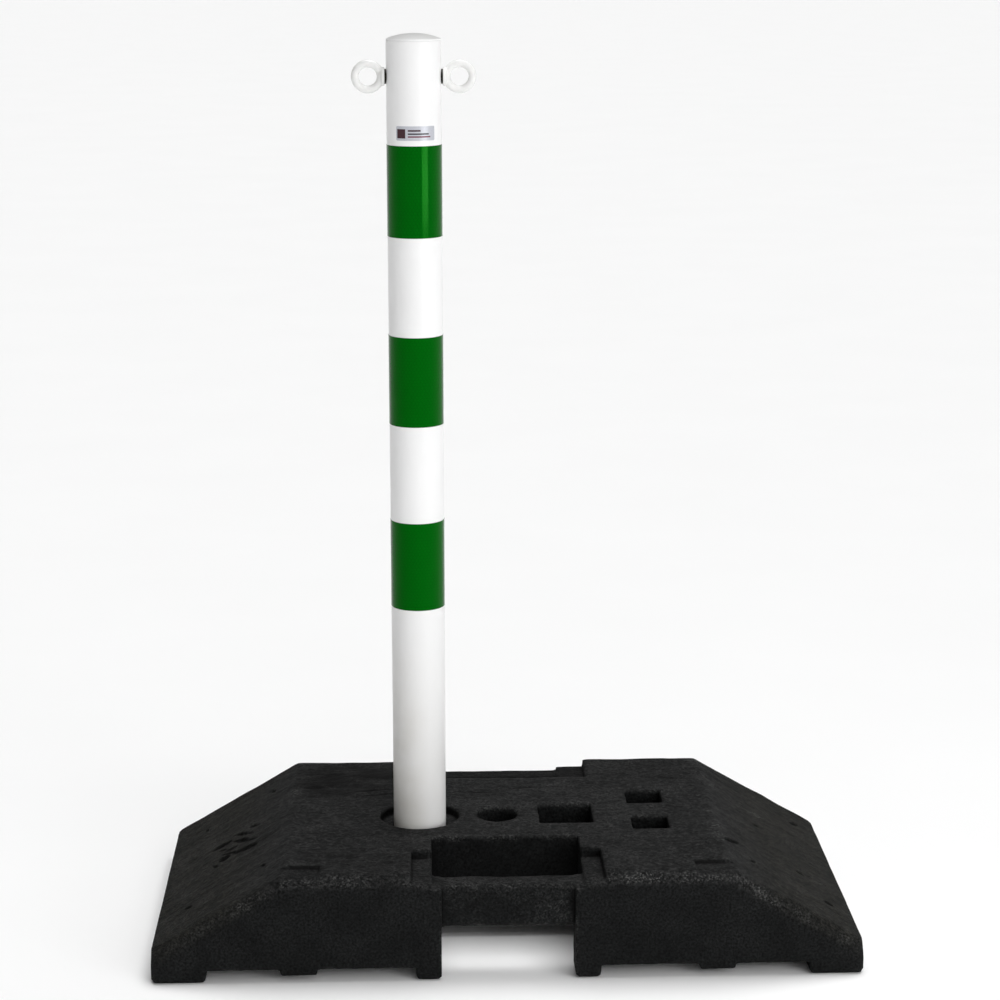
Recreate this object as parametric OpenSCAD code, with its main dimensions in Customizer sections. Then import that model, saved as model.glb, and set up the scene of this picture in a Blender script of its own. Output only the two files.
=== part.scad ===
// Delineator post: a banded tube standing in the socket of a moulded base plate.
// Millimetres, +Z up, +Y to the back, origin on the ground at the plate's centre.

/* [Base plate] */
// Length of the plate, left to right
base_length = 780; // [700:5:860]
// Depth of the plate, front to back
base_width = 400; // [370:5:440]
// Height of the flat top above the ground
base_height = 120; // [105:1:140]
// Length of the flat top, left to right
top_length = 486; // [450:1:540]
// Height of the vertical ends above the ground
end_height = 35; // [28:1:50]
// Bevel along the upper edges of the front side
front_bevel = 11; // [3:1:13]
// Bevel along the upper edges of the rear side
rear_bevel = 4; // [2:1:9]
// How much wider the bevels are along the slopes
slope_bevel_extra = 0.6; // [0.3:0.1:1.5]
// Bevel on the four upright corners
corner_bevel = 6; // [2:0.5:10]

/* [Feet] */
// Height of the feet, which is the gap under the plate
foot_height = 15; // [10:1:20]
// Length of a corner foot, left to right
corner_foot_length = 60; // [40:1:75]
// Depth of a corner foot, front to back
corner_foot_depth = 60; // [40:1:90]
// Length of a foot beside a grip, left to right
inner_foot_length = 28; // [20:1:32]
// Depth of a foot beside a grip, front to back
inner_foot_depth = 40; // [30:1:50]
// Bevel round the lower edges of a foot
foot_bevel = 4; // [1:0.5:5]
// Bevel round the lower edges of a nub
nub_bevel = 1.5; // [0.5:0.5:3]
// Length of a stacking nub, left to right
nub_length = 40; // [30:1:42]
// Depth of a stacking nub, front to back
nub_depth = 37; // [25:1:40]
// Height of a stacking nub below the underside
nub_height = 7; // [4:0.5:9]
// Distance of a nub's centre from the end of the flat top
nub_inset = 14; // [10:1:40]
// Gap left round a nub by the recess above it
nub_recess_gap = 3; // [2:0.5:6]
// How far that recess is sunk in the top
nub_recess_sink = 4; // [2:0.5:6]

/* [Grips] */
// Width of the front grip's opening at the top
grip_width = 166; // [140:1:180]
// Width of the gap in the face below a grip
grip_gap_width = 146; // [120:1:150]
// Thickness of a grip bar, front to back
grip_bar_depth = 31; // [24:1:36]
// How far the front grip bar is set back from the face
front_bar_setback = 10; // [6:1:16]
// How far the rear grip bar is set back from the face
rear_bar_setback = 4; // [2:1:16]
// How far the front grip bar is sunk below the top
front_bar_sink = 14; // [11:1:24]
// How far the rear grip bar is sunk below the top
rear_bar_sink = 12; // [11:1:24]
// Height of a grip bar's section
grip_bar_height = 49; // [36:1:55]
// Rounding of a grip bar's long edges
grip_bar_round = 6; // [3:0.5:9]
// Depth of the opening behind the front grip bar
front_opening_depth = 83.5; // [60:0.5:90]
// Depth of the opening behind the rear grip bar
rear_opening_depth = 33; // [24:1:40]
// Width of the lowered ledge on each side of the front opening
ledge_land = 22.5; // [18:0.5:32]
// How far the ledges are sunk in the top
ledge_sink = 10; // [6:1:14]
// Depth of the front ledges from the face
front_ledge_depth = 84; // [60:1:95]

/* [Sockets] */
// Left-right position of the post's socket
post_x = -95; // [-115:1:-85]
// Thickness of the floor under the post's socket
post_socket_floor = 8; // [4:1:25]
// Diameter of the drain hole in the post socket's floor
drain_diameter = 20; // [8:1:30]
// Width of the round recess outside the post's socket
post_recess_margin = 14.5; // [8:0.5:20]
// How far the round recess is sunk in the top
post_recess_sink = 10; // [5:1:15]
// Left-right position of the spare round socket
round_socket_x = -6; // [-10:1:2]
// Diameter of the spare round socket
round_socket_diameter = 48; // [40:1:50]
// Left-right position of the large square socket
square_socket_x = 73; // [68:1:80]
// Side of the large square socket
square_socket_side = 62; // [50:1:64]
// Left-right position of the two small square sockets
small_socket_x = 168.5; // [155:0.5:180]
// Side of a small square socket
small_socket_side = 42; // [34:1:46]
// Front-back position of the rear small socket
small_socket_rear_y = 55; // [40:1:70]
// Front-back position of the front small socket
small_socket_front_y = -33; // [-60:1:-30]

/* [Post] */
// Outside diameter of the tube
tube_diameter = 60; // [50:0.5:60.5]
// Wall thickness of the tube
tube_wall = 2.5; // [2:0.1:4]
// Height of the cap's rim above the ground
rim_height = 1004; // [850:1:1200]
// Thickness of the cap's rim
rim_thickness = 1.5; // [1:0.1:4]
// Rise of the cap's dome above its rim
dome_rise = 6; // [3:0.5:12]
// Length of the cap's spigot inside the tube
cap_spigot_length = 15; // [8:1:25]
// Thickness of the foot plug's head
plug_head = 3; // [2:0.5:6]
// Length of the foot plug's spigot inside the tube
plug_spigot_length = 18; // [10:1:30]
// Wall thickness of both plugs
plug_wall = 2.4; // [1.6:0.1:4]
// How far the foot plug's head stays inside the tube's outer surface
plug_head_inset = 0.5; // [0.2:0.1:1]

/* [Reflective film] */
// Height of one green band
band_height = 100; // [60:1:120]
// Spacing of the bands, centre to centre
band_pitch = 209.4; // [180:0.1:212]
// Distance from the cap's rim down to the top band's upper edge
band_drop = 113.5; // [112:0.5:125]
// Thickness of the film
film_thickness = 0.4; // [0.2:0.1:0.8]
// Width of the small label round the tube, in degrees
label_angle = 86; // [40:1:100]
// Turn of the label's middle to the right of the front, in degrees
label_turn = 3; // [0:1:10]
// Height of the small label
label_height = 15.5; // [10:0.5:18]
// Distance from the cap's rim down to the label's upper edge
label_drop = 92; // [90:0.5:95]
// Thickness of the label
label_thickness = 0.2; // [0.1:0.1:0.4]

/* [Ring bolts] */
// Distance from the cap's rim down to the ring bolts
ring_drop = 40.5; // [30:0.5:50]
// Outside diameter of a ring
ring_outer = 36; // [34:0.5:40]
// Inside diameter of a ring
ring_inner = 20; // [18:0.2:24]
// Distance from the collar's back to the near side of the ring
ring_neck = 0.2; // [0:0.1:3]
// Diameter of the collar
collar_diameter = 20; // [16:0.5:22]
// Thickness of the collar
collar_thickness = 3.4; // [2.5:0.1:5]
// Step from the collar's edge in to the neck
neck_step = 1.6; // [1:0.1:3]
// Length of the tapered neck in front of the collar
neck_length = 3.4; // [2.5:0.1:4]
// How much wider than the ring's wire the neck ends
neck_flare = 0.4; // [0.2:0.1:1]
// Diameter of the shank
shank_diameter = 8; // [6:1:10]
// Length of the shank
shank_length = 13; // [10:0.5:18]
// Width of the rivet nut's flange outside its barrel
nut_flange_margin = 2.5; // [1.5:0.5:3.5]
// Thickness of the rivet nut's flange
nut_flange = 1.5; // [1:0.1:2.5]
// Wall of the rivet nut's barrel
nut_barrel_wall = 1.5; // [1.2:0.1:2.5]
// Length of the rivet nut below its flange
nut_length = 16; // [14:0.5:20]
// Width of the set rivet nut's bulge outside its barrel
bulge_margin = 1.6; // [1:0.1:2.5]
// Height of the bulge along the nut
bulge_height = 3.5; // [2:0.5:5]
// Gap between the bulge and the tube's wall
bulge_gap = 0.3; // [0.1:0.1:0.5]

/* [Fits] */
// Radial gap between the tube and its socket
socket_clearance = 1; // [0.5:0.1:2]
// Radial gap between the foot plug and the tube
turning_clearance = 0.08; // [0.02:0.01:0.1]
// Gap between parts that are pressed or glued together
seat_gap = 0.05; // [0.02:0.01:0.1]
// Gap under the foot plug
rest_gap = 0.3; // [0.1:0.1:0.5]
// Radial gap in the threads and rivet-nut holes
thread_gap = 0.1; // [0.05:0.05:0.2]

/* [Hidden] */
$fn = 96;
base_color = [0.075, 0.078, 0.08];
white_color = [0.90, 0.90, 0.89];
green_color = [0.0, 0.33, 0.08];
zinc_color = [0.42, 0.42, 0.40];
plug_color = [0.05, 0.05, 0.05];
label_color = [0.72, 0.73, 0.75];
half_length = base_length / 2;
half_width = base_width / 2;
half_top = top_length / 2;
slope_angle = atan2(base_height - end_height, half_length - half_top);
slope_run = norm([half_length - half_top, base_height - end_height]);
front_bar_outer = half_width - front_bar_setback;
front_bar_inner = front_bar_outer - grip_bar_depth;
rear_bar_inner = half_width - rear_bar_setback - grip_bar_depth;
ledge_top = base_height - ledge_sink;
ledge_width = grip_width + 2 * ledge_land;
front_opening_inner = front_bar_inner - front_opening_depth;
rear_opening_inner = rear_bar_inner - rear_opening_depth;
front_ledge_inner = half_width - front_ledge_depth;
nub_offset = half_top - nub_inset;
tube_radius = tube_diameter / 2;
tube_bore = tube_radius - tube_wall;
post_socket_diameter = tube_diameter + 2 * socket_clearance;
post_recess_diameter = post_socket_diameter + 2 * post_recess_margin;
socket_floor_top = foot_height + post_socket_floor;
plug_bottom = socket_floor_top + rest_gap;
tube_bottom = plug_bottom + plug_head + seat_gap;
tube_top = rim_height - rim_thickness - seat_gap;
dome_radius = (pow(tube_radius, 2) + pow(dome_rise, 2)) / (2 * dome_rise);
ring_z = rim_height - ring_drop;
wire_radius = (ring_outer - ring_inner) / 4;
wire_circle = (ring_outer + ring_inner) / 4;
ring_reach = ring_neck + ring_outer / 2;
nut_barrel_diameter = shank_diameter + 2 * nut_barrel_wall;
nut_flange_diameter = nut_barrel_diameter + 2 * nut_flange_margin;
nut_face = tube_radius + seat_gap + nut_flange;
collar_face = nut_face + seat_gap;
bulge_radius = nut_barrel_diameter / 2 + bulge_margin;
bulge_top = sqrt(pow(tube_bore, 2) - pow(bulge_radius, 2)) - bulge_gap;
over = 1;
weld = 0.2;

// A box given by its two corners.
module span(low, high) {
    translate(low)
        cube([high[0] - low[0], high[1] - low[1], high[2] - low[2]]);
}

// A block standing on the ground, bevelled round its lower edge on all four sides.
module foot(x_low, x_high, y_low, y_high, bottom, bevel) {
    intersection() {
        translate([0, y_high, 0])
            rotate([90, 0, 0])
                linear_extrude(y_high - y_low)
                    foot_outline(x_low, x_high, bottom, bevel);
        translate([x_low, 0, 0])
            rotate([90, 0, 90])
                linear_extrude(x_high - x_low)
                    foot_outline(y_low, y_high, bottom, bevel);
    }
}

module foot_outline(low, high, bottom, bevel) {
    polygon([[low, foot_height + over],
             [low, bottom + bevel],
             [low + bevel, bottom],
             [high - bevel, bottom],
             [high, bottom + bevel],
             [high, foot_height + over]]);
}

// A square rod laid along +X from the origin, one edge of it cutting a bevel.
module bevel_rod(length, bevel) {
    translate([-over, 0, 0])
        rotate([45, 0, 0])
            translate([0, -bevel * sqrt(2) / 2, -bevel * sqrt(2) / 2])
                cube([length + 2 * over, bevel * sqrt(2), bevel * sqrt(2)]);
}

// Bevels along one long side: the flat top and both slopes.
module side_bevels(y, bevel) {
    translate([-half_top, y, base_height])
        bevel_rod(top_length, bevel);
    for (side = [-1, 1])
        translate([side * half_top, y, base_height])
            rotate([0, 0, side < 0 ? 180 : 0])
                rotate([0, slope_angle, 0])
                    bevel_rod(slope_run, bevel + slope_bevel_extra);
}

module upright_corners() {
    for (sx = [-1, 1])
        for (sy = [-1, 1])
            translate([sx * half_length, sy * half_width, -over])
                rotate([0, 0, 45])
                    translate([-corner_bevel * sqrt(2) / 2, -corner_bevel * sqrt(2) / 2, 0])
                        cube([corner_bevel * sqrt(2), corner_bevel * sqrt(2), base_height]);
}

module plate_block() {
    translate([0, half_width, 0])
        rotate([90, 0, 0])
            linear_extrude(base_width)
                polygon([[-half_length, foot_height],
                         [half_length, foot_height],
                         [half_length, end_height],
                         [half_top, base_height],
                         [-half_top, base_height],
                         [-half_length, end_height]]);
}

module feet() {
    for (sx = [-1, 1])
        for (sy = [-1, 1]) {
            foot(sx < 0 ? -half_length : half_length - corner_foot_length,
                 sx < 0 ? corner_foot_length - half_length : half_length,
                 sy < 0 ? -half_width : half_width - corner_foot_depth,
                 sy < 0 ? corner_foot_depth - half_width : half_width, 0, foot_bevel);
            foot(sx < 0 ? -grip_gap_width / 2 - inner_foot_length : grip_gap_width / 2,
                 sx < 0 ? -grip_gap_width / 2 : grip_gap_width / 2 + inner_foot_length,
                 sy < 0 ? -half_width : half_width - inner_foot_depth,
                 sy < 0 ? inner_foot_depth - half_width : half_width, 0, foot_bevel);
        }
    for (sx = [-1, 1])
        foot(sx * nub_offset - nub_length / 2, sx * nub_offset + nub_length / 2,
             -half_width, nub_depth - half_width, foot_height - nub_height, nub_bevel);
}

module front_grip_cut() {
    span([-ledge_width / 2, -half_width - over, ledge_top],
         [ledge_width / 2, -front_ledge_inner, base_height + over]);
    span([-grip_width / 2, -half_width - over, base_height - front_bar_sink],
         [grip_width / 2, over - front_bar_inner, base_height + over]);
    span([-grip_width / 2, -front_bar_inner, -over],
         [grip_width / 2, -front_opening_inner, base_height + over]);
    span([-grip_gap_width / 2, -half_width - over, -over],
         [grip_gap_width / 2, over - front_bar_inner, base_height + over]);
}

module rear_grip_cut() {
    span([-ledge_width / 2, rear_opening_inner, ledge_top],
         [ledge_width / 2, half_width + over, base_height + over]);
    span([-grip_gap_width / 2, rear_opening_inner, -over],
         [grip_gap_width / 2, half_width + over, base_height + over]);
}

// A rounded grip bar across a gap; y is its side nearest the front.
module grip_bar(y, top) {
    translate([-grip_gap_width / 2 - over, y, top - grip_bar_height])
        rotate([90, 0, 90])
            linear_extrude(grip_gap_width + 2 * over) {
                translate([grip_bar_round, 0])
                    square([grip_bar_depth - 2 * grip_bar_round, grip_bar_height]);
                translate([0, grip_bar_round])
                    square([grip_bar_depth, grip_bar_height - 2 * grip_bar_round]);
                for (cx = [grip_bar_round, grip_bar_depth - grip_bar_round])
                    for (cy = [grip_bar_round, grip_bar_height - grip_bar_round])
                        translate([cx, cy])
                            circle(grip_bar_round);
            }
}

module socket_cuts() {
    translate([post_x, 0, base_height - post_recess_sink])
        cylinder(d = post_recess_diameter, h = post_recess_sink + over);
    translate([post_x, 0, socket_floor_top])
        cylinder(d = post_socket_diameter, h = base_height);
    translate([post_x, 0, -over])
        cylinder(d = drain_diameter, h = base_height);
    translate([round_socket_x, 0, -over])
        cylinder(d = round_socket_diameter, h = base_height + 2 * over);
    translate([square_socket_x, 0, base_height / 2])
        cube([square_socket_side, square_socket_side, base_height + 2 * over], center = true);
    for (y = [small_socket_rear_y, small_socket_front_y])
        translate([small_socket_x, y, base_height / 2])
            cube([small_socket_side, small_socket_side, base_height + 2 * over],
                 center = true);
    for (sx = [-1, 1])
        span([sx * nub_offset - nub_length / 2 - nub_recess_gap, -half_width - over,
              base_height - nub_recess_sink],
             [sx * nub_offset + nub_length / 2 + nub_recess_gap,
              nub_depth + nub_recess_gap - half_width, base_height + over]);
}

module base_plate() {
    color(base_color) {
        difference() {
            union() {
                plate_block();
                feet();
            }
            side_bevels(-half_width, front_bevel);
            side_bevels(half_width, rear_bevel);
            upright_corners();
            front_grip_cut();
            rear_grip_cut();
            socket_cuts();
        }
        grip_bar(-front_bar_outer, base_height - front_bar_sink);
        grip_bar(rear_bar_inner, base_height - rear_bar_sink);
    }
}

module post_tube() {
    color(white_color)
        translate([post_x, 0, 0])
            difference() {
                translate([0, 0, tube_bottom])
                    cylinder(r = tube_radius, h = tube_top - tube_bottom);
                translate([0, 0, tube_bottom - over])
                    cylinder(r = tube_bore, h = tube_top - tube_bottom + 2 * over);
                translate([-tube_diameter, 0, ring_z])
                    rotate([0, 90, 0])
                        cylinder(d = nut_barrel_diameter + 2 * thread_gap,
                                 h = 2 * tube_diameter);
            }
}

module top_cap() {
    color(white_color)
        translate([post_x, 0, 0])
            difference() {
                union() {
                    intersection() {
                        translate([0, 0, rim_height + dome_rise - dome_radius])
                            sphere(dome_radius);
                        translate([0, 0, rim_height - rim_thickness])
                            cylinder(r = tube_radius, h = dome_rise + rim_thickness + over);
                    }
                    translate([0, 0, rim_height - rim_thickness - cap_spigot_length])
                        cylinder(r = tube_bore - seat_gap,
                                 h = cap_spigot_length + rim_thickness / 2);
                }
                translate([0, 0, rim_height - rim_thickness - cap_spigot_length - over])
                    cylinder(r = tube_bore - seat_gap - plug_wall, h = cap_spigot_length);
            }
}

module bottom_plug() {
    color(plug_color)
        translate([post_x, 0, plug_bottom])
            difference() {
                union() {
                    cylinder(r = tube_radius - plug_head_inset, h = plug_head);
                    cylinder(r = tube_bore - turning_clearance,
                             h = plug_head + plug_spigot_length);
                }
                translate([0, 0, plug_head])
                    cylinder(r = tube_bore - turning_clearance - plug_wall,
                             h = plug_spigot_length + over);
            }
}

module film_band(index) {
    band_top = rim_height - band_drop - index * band_pitch;
    color(green_color)
        translate([post_x, 0, band_top - band_height])
            difference() {
                cylinder(r = tube_radius + seat_gap + film_thickness, h = band_height);
                translate([0, 0, -over])
                    cylinder(r = tube_radius + seat_gap, h = band_height + 2 * over);
            }
}

module reflective_band_top() {
    film_band(0);
}

module reflective_band_middle() {
    film_band(1);
}

module reflective_band_bottom() {
    film_band(2);
}

module maker_label() {
    color(label_color)
        translate([post_x, 0, rim_height - label_drop - label_height])
            rotate([0, 0, label_turn - 90 - label_angle / 2])
                rotate_extrude(angle = label_angle)
                    translate([tube_radius + seat_gap, 0])
                        square([label_thickness, label_height]);
}

// A ring bolt pointing along +X, its axis through the tube's centre.
module ring_bolt() {
    color(white_color) {
        translate([collar_face, 0, 0])
            rotate([0, 90, 0])
                cylinder(d = collar_diameter, h = collar_thickness);
        translate([collar_face + collar_thickness - weld, 0, 0])
            rotate([0, 90, 0])
                cylinder(r1 = collar_diameter / 2 - neck_step, r2 = wire_radius + neck_flare,
                         h = neck_length + weld);
        translate([collar_face + ring_reach, 0, 0])
            rotate([90, 0, 0])
                rotate_extrude()
                    translate([wire_circle, 0])
                        circle(wire_radius);
        translate([collar_face - shank_length, 0, 0])
            rotate([0, 90, 0])
                cylinder(d = shank_diameter - 2 * thread_gap,
                         h = shank_length + collar_thickness / 2);
    }
}

module ring_bolt_right() {
    translate([post_x, 0, ring_z])
        ring_bolt();
}

module ring_bolt_left() {
    translate([post_x, 0, ring_z])
        rotate([0, 0, 180])
            ring_bolt();
}

// A set rivet nut pointing along +X: flange outside, bulge inside the wall.
module rivet_nut() {
    color(zinc_color)
        rotate([0, 90, 0])
            difference() {
                union() {
                    translate([0, 0, nut_face - nut_flange])
                        cylinder(d = nut_flange_diameter, h = nut_flange);
                    translate([0, 0, nut_face - nut_flange - nut_length])
                        cylinder(d = nut_barrel_diameter, h = nut_length + nut_flange / 2);
                    translate([0, 0, bulge_top - bulge_height])
                        cylinder(r = bulge_radius, h = bulge_height);
                }
                translate([0, 0, nut_face - nut_flange - nut_length - over])
                    cylinder(d = shank_diameter, h = nut_length + nut_flange + 2 * over);
            }
}

module rivet_nut_right() {
    translate([post_x, 0, ring_z])
        rivet_nut();
}

module rivet_nut_left() {
    translate([post_x, 0, ring_z])
        rotate([0, 0, 180])
            rivet_nut();
}

base_plate();
post_tube();
top_cap();
bottom_plug();
reflective_band_top();
reflective_band_middle();
reflective_band_bottom();
maker_label();
ring_bolt_left();
ring_bolt_right();
rivet_nut_left();
rivet_nut_right();
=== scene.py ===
import math

import bmesh
import bpy
import numpy as np
from mathutils import Matrix, Vector


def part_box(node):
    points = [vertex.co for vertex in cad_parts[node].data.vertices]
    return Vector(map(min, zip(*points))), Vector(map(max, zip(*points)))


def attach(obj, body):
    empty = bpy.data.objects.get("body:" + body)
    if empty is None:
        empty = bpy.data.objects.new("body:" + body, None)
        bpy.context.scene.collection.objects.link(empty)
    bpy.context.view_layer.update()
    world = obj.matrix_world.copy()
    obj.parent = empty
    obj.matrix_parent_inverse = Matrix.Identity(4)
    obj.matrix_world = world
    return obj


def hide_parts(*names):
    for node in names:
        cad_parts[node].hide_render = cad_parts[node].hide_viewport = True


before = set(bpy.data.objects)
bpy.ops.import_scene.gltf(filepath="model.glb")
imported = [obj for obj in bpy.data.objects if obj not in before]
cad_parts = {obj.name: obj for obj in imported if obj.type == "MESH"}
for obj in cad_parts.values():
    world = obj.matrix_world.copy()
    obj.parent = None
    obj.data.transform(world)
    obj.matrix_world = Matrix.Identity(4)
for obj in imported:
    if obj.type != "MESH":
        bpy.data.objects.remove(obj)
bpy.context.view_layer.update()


# ---------------------------------------------------------------------------
# Studio. A pale matt floor that runs out of sight, a soft light from overhead,
# and one soft box in front on the right, which shows as a bright upright strip
# in anything glossy and round.
# ---------------------------------------------------------------------------
def srgb(code):
    """Linear red, green, blue and alpha of an sRGB hex colour."""
    value = np.array([int(code[i:i + 2], 16) for i in (1, 3, 5)]) / 255
    linear = np.where(value <= 0.04045, value / 12.92, ((value + 0.055) / 1.055) ** 2.4)
    return (*linear.tolist(), 1.0)


def add(tree, kind, inputs=None, **settings):
    """Adds one shader node; an input's value is a constant or the output that feeds it."""
    made = tree.nodes.new(kind)
    for name, value in settings.items():
        setattr(made, name, value)
    for name, value in (inputs or {}).items():
        if isinstance(value, bpy.types.NodeSocket):
            tree.links.new(value, made.inputs[name])
        else:
            made.inputs[name].default_value = value
    return made


def placed(name, data):
    """A new object in the scene that holds this mesh, light or camera."""
    made = bpy.data.objects.new(name, data)
    bpy.context.collection.objects.link(made)
    return made


def empty_material(name):
    """A new material with nothing in its node tree, and that tree."""
    material = bpy.data.materials.new(name)
    material.use_nodes = True
    material.node_tree.nodes.clear()
    return material, material.node_tree


# Matt emulsion on a smooth floor: pale, without a sheen, barely mottled.
floor_paint, tree = empty_material("matt_floor_paint")
place = add(tree, "ShaderNodeTexCoord").outputs["Object"]
mottle = add(tree, "ShaderNodeTexNoise", {"Vector": place, "Scale": 3.0, "Detail": 3.0})
tone = add(tree, "ShaderNodeMix", {0: mottle.outputs["Fac"], 6: srgb("#f2f2f2"),
                                   7: srgb("#f5f5f5")}, data_type="RGBA")
paint = add(tree, "ShaderNodeBsdfPrincipled", {"Base Color": tone.outputs[2],
                                               "Roughness": 0.9, "Specular IOR Level": 0.1})
add(tree, "ShaderNodeOutputMaterial", {"Surface": paint.outputs["BSDF"]})

floor_half = 60.0
floor_mesh = bpy.data.meshes.new("studio_floor")
floor_mesh.from_pydata([(-floor_half, -floor_half, 0), (floor_half, -floor_half, 0),
                        (floor_half, floor_half, 0), (-floor_half, floor_half, 0)],
                       [], [(0, 1, 2, 3)])
floor_mesh.materials.append(floor_paint)
floor = placed("studio_floor", floor_mesh)

# The room's own light: one bright patch of wall in front, above and to the right, dim
# elsewhere, with a pale skirting all round just above the floor.
world = bpy.data.worlds.new("studio_room")
world.use_nodes = True
tree = world.node_tree
tree.nodes.clear()
towards = add(tree, "ShaderNodeTexCoord").outputs["Generated"]
frontal = add(tree, "ShaderNodeVectorMath", {0: towards, 1: (0.366, -0.821, 0.438)},
              operation="DOT_PRODUCT")
wall = add(tree, "ShaderNodeMapRange", {"Value": frontal.outputs["Value"], "From Min": 0.72,
                                        "From Max": 1.0, "To Min": 0.02, "To Max": 2.2})
upwards = add(tree, "ShaderNodeSeparateXYZ", {"Vector": towards})
skirting = add(tree, "ShaderNodeMapRange", {"Value": upwards.outputs["Z"], "From Min": 0.14,
                                            "From Max": 0.32, "To Min": 0.52, "To Max": 0.0},
               interpolation_type="SMOOTHSTEP")
both = add(tree, "ShaderNodeMath", {0: wall.outputs[0], 1: skirting.outputs[0]},
           operation="MAXIMUM")
room = add(tree, "ShaderNodeBackground", {"Color": srgb("#fbfbfb"),
                                          "Strength": both.outputs[0]})
add(tree, "ShaderNodeOutputWorld", {"Surface": room.outputs[0]})
bpy.context.scene.world = world
bpy.context.scene.view_settings.view_transform = "Standard"

overhead = bpy.data.lights.new("overhead_softbox", "SUN")
overhead.energy = 2.55
overhead.angle = math.radians(48)
overhead_object = placed("overhead_softbox", overhead)
overhead_object.rotation_euler = (math.radians(-12), math.radians(8), 0)

# The soft box stands 2 m from the post, 44 degrees to the right of the front,
# 0.9 m wide and from 0.57 m to 0.77 m high.
post_low, post_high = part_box("post_tube")
post_x = (post_low[0] + post_high[0]) / 2
softbox_far, softbox_angle, softbox_z = 2.0, math.radians(44), 0.67
side_softbox = bpy.data.lights.new("side_softbox", "AREA")
side_softbox.shape = "RECTANGLE"
side_softbox.size = 0.9
side_softbox.size_y = 0.20
side_softbox.energy = 7.0
softbox_place = Vector((post_x + softbox_far * math.sin(softbox_angle),
                        -softbox_far * math.cos(softbox_angle), softbox_z))
aim = Vector((post_x, 0, softbox_z)) - softbox_place
side_softbox_object = placed("side_softbox", side_softbox)
side_softbox_object.matrix_world = (Matrix.Translation(softbox_place)
                                    @ aim.to_track_quat("-Z", "Y").to_matrix().to_4x4())

# A long lens from just above the post's head, 2.9 m in front.
camera_data = bpy.data.cameras.new("camera")
camera_data.sensor_width = 36
camera_data.lens = 95.26
camera_data.clip_end = 200
camera = placed("camera", camera_data)
yaw, pitch, roll = math.radians(2.074), math.radians(12.708), math.radians(-0.079)
camera_place = (-0.107, -2.9008, 1.1464)
camera.matrix_world = (Matrix.Translation(camera_place)
                       @ Matrix.Rotation(-yaw, 4, "Z")
                       @ Matrix.Rotation(math.pi / 2 - pitch, 4, "X")
                       @ Matrix.Rotation(roll, 4, "Z"))
bpy.context.scene.camera = camera


# ---------------------------------------------------------------------------
# Base plate. One block pressed from ground, mixed recycled PVC: nearly black,
# dull, slightly wavy where it cooled, with torn pits on the slopes and the
# upper front edges knocked round and rubbed to a pale speckle.
# ---------------------------------------------------------------------------
def lattice_noise(points, cell, seed):
    """Smooth random field from -1 to 1: a random value at each corner of a lattice whose
    cells have these sides, blended inside a cell with 3t^2 - 2t^3 along each axis."""
    values = 4096
    table = np.random.default_rng(seed).uniform(-1, 1, values)
    scaled = points / np.asarray(cell)
    corner = np.floor(scaled).astype(np.int64)
    part = scaled - corner
    part = part * part * (3 - 2 * part)
    total = np.zeros(len(points))
    for step in np.ndindex(2, 2, 2):
        at = corner + np.array(step)
        # Three large odd numbers scatter a corner's place over the table.
        key = (at[:, 0] * 73856093) ^ (at[:, 1] * 19349663) ^ (at[:, 2] * 83492791)
        weight = np.prod(np.where(np.array(step) == 1, part, 1 - part), axis=1)
        total += weight * table[key % values]
    return total


def smooth_step(value, low, high):
    """0 below low, 1 above high, and 3t^2 - 2t^3 between."""
    t = np.clip((value - low) / (high - low), 0, 1)
    return t * t * (3 - 2 * t)


def relaxed(points, edges, rounds, strength):
    """Moves each point towards the mean of its neighbours by strength, this many times."""
    count = np.bincount(edges.ravel(), minlength=len(points))[:, None]
    moved = points.copy()
    for _ in range(rounds):
        total = np.stack([np.bincount(edges[:, 0], moved[edges[:, 1], k], len(points))
                          + np.bincount(edges[:, 1], moved[edges[:, 0], k], len(points))
                          for k in range(3)], axis=1)
        moved += strength * (total / count - moved)
    return moved


def segment_distance(points, start, end):
    """Distance of each point from the straight line between start and end."""
    start, end = np.asarray(start), np.asarray(end)
    along = end - start
    t = np.clip((points - start) @ along / (along @ along), 0, 1)[:, None]
    return np.linalg.norm(points - start - t * along, axis=1)


def read_points(mesh):
    """The mesh's vertex positions and edges as arrays."""
    points = np.empty(len(mesh.vertices) * 3)
    mesh.vertices.foreach_get("co", points)
    edges = np.empty(len(mesh.edges) * 2, dtype=np.int64)
    mesh.edges.foreach_get("vertices", edges)
    return points.reshape(-1, 3), edges.reshape(-1, 2)


def read_normals(mesh):
    """The mesh's vertex normals as an array."""
    normals = np.empty(len(mesh.vertices) * 3)
    mesh.vertex_normals.foreach_get("vector", normals)
    return normals.reshape(-1, 3)


def shaded(mesh):
    """Sets every face of the mesh smooth."""
    mesh.polygons.foreach_set("use_smooth", np.ones(len(mesh.polygons), bool))


def remeshed(mesh, **settings):
    """A copy of a closed mesh rebuilt as even quads by a remesh with these settings."""
    shell = bmesh.new()
    shell.from_mesh(mesh)
    bmesh.ops.remove_doubles(shell, verts=shell.verts, dist=1e-6)
    joined = bpy.data.meshes.new("joined")
    shell.to_mesh(joined)
    shell.free()
    holder = placed("holder", joined)
    even = holder.modifiers.new("even_quads", "REMESH")
    for name, value in settings.items():
        setattr(even, name, value)
    bpy.context.view_layer.update()
    graph = bpy.context.evaluated_depsgraph_get()
    rebuilt = bpy.data.meshes.new_from_object(holder.evaluated_get(graph))
    bpy.data.objects.remove(holder)
    bpy.data.meshes.remove(joined)
    return rebuilt


# The flat top ends 243 mm from the middle, and the plate is 35 mm high at its ends.
plate_low, plate_high = (np.array(corner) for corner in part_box("base_plate"))
plate_top = plate_high[2]
front_y = plate_low[1]
top_end, low_end, end_top = 0.243, plate_high[0], 0.035

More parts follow.
